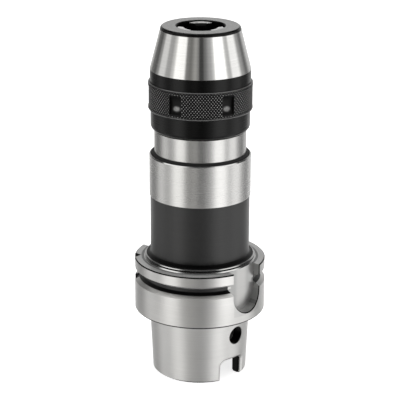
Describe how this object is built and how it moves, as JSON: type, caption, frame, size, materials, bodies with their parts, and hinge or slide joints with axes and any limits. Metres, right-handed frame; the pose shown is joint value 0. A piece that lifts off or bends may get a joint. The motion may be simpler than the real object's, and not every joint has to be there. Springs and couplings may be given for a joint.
{
  "type": "drill chuck",
  "caption": "Keyless wrench-tightened drill chuck with three jaws, knurled spanner collar and integral hollow 1:10 taper shank with a gripper flange.",
  "frame": {"origin": "on the axis, at the flange face that seats on the machine spindle", "axes": "+Z along the axis towards the jaws; the taper lies below Z = 0; -Y is the front"},
  "size_m": [0.063, 0.063, 0.1711],
  "materials": {
    "shank_steel": "ground hardened steel, with a black-oxide band",
    "ground_steel": "ground",
    "sleeve_steel": "ground cone, black-oxide band",
    "black_oxide": "black oxide on steel, oiled",
    "jaw_steel": "ground hardened",
    "hard_steel": "hardened, dull",
    "bearing_steel": "polished",
    "spring_steel": "blued spring steel",
    "cage_brass": "machined",
    "seal_polymer": "matte black",
    "seal_rubber": "matte black"
  },
  "bodies": {
    "holder": {"holder_body": "shank_steel", "chuck_body": "ground_steel", "body_clamp_screw": "black_oxide", "clamp_washer": "spring_steel", "drive_dowels": "bearing_steel", "body_oring": "seal_rubber", "joint_seal": "seal_rubber", "bearing_nut": "black_oxide", "nut_lock_screw": "black_oxide", "thrust_washer_upper": "bearing_steel", "dust_seal": "seal_polymer", "anti_jam_washer": "spring_steel"},
    "bearing": {"thrust_balls": "bearing_steel", "ball_cage": "cage_brass"},
    "sleeve": {"nose_sleeve": "sleeve_steel", "knurled_ring": "black_oxide", "rear_sleeve": "black_oxide", "jaw_guide": "hard_steel", "guide_pins": "bearing_steel", "guide_snap_ring": "spring_steel", "thrust_washer_lower": "bearing_steel"},
    "feed_screw": {"jaw_screw": "hard_steel", "anvil": "bearing_steel"},
    "jaw_a": {"jaw_1": "jaw_steel"},
    "jaw_b": {"jaw_2": "jaw_steel"},
    "jaw_c": {"jaw_3": "jaw_steel"}
  },
  "joints": [
    {"name": "sleeve_turn", "type": "hinge", "parent": "holder", "child": "sleeve", "pos_m": [0, 0, 0.1], "axis": [0, 0, -1], "range_deg": [0, 2664]},
    {"name": "ball_cage_turn", "type": "hinge", "parent": "holder", "child": "bearing", "pos_m": [0, 0, 0.0949], "axis": [0, 0, -1], "range_deg": [0, 1332]},
    {"name": "feed_screw_advance", "type": "slide", "parent": "sleeve", "child": "feed_screw", "axis": [0, 0, 1], "range_m": [0, 0.0185]},
    {"name": "jaw_a_slide", "type": "slide", "parent": "sleeve", "child": "jaw_a", "axis": [0, -0.2756, 0.9613], "range_m": [0, 0.01925]},
    {"name": "jaw_b_slide", "type": "slide", "parent": "sleeve", "child": "jaw_b", "axis": [-0.2387, 0.1378, 0.9613], "range_m": [0, 0.01925]},
    {"name": "jaw_c_slide", "type": "slide", "parent": "sleeve", "child": "jaw_c", "axis": [0.2387, 0.1378, 0.9613], "range_m": [0, 0.01925]}
  ],
  "couplings": [
    {"joint": "ball_cage_turn", "follows": "sleeve_turn", "ratio": 0.5},
    {"joint": "feed_screw_advance", "follows": "sleeve_turn", "m_per_rad": 0.00039789},
    {"joint": "jaw_a_slide", "follows": "sleeve_turn", "m_per_rad": 0.00041392},
    {"joint": "jaw_b_slide", "follows": "sleeve_turn", "m_per_rad": 0.00041392},
    {"joint": "jaw_c_slide", "follows": "sleeve_turn", "m_per_rad": 0.00041392}
  ]
}
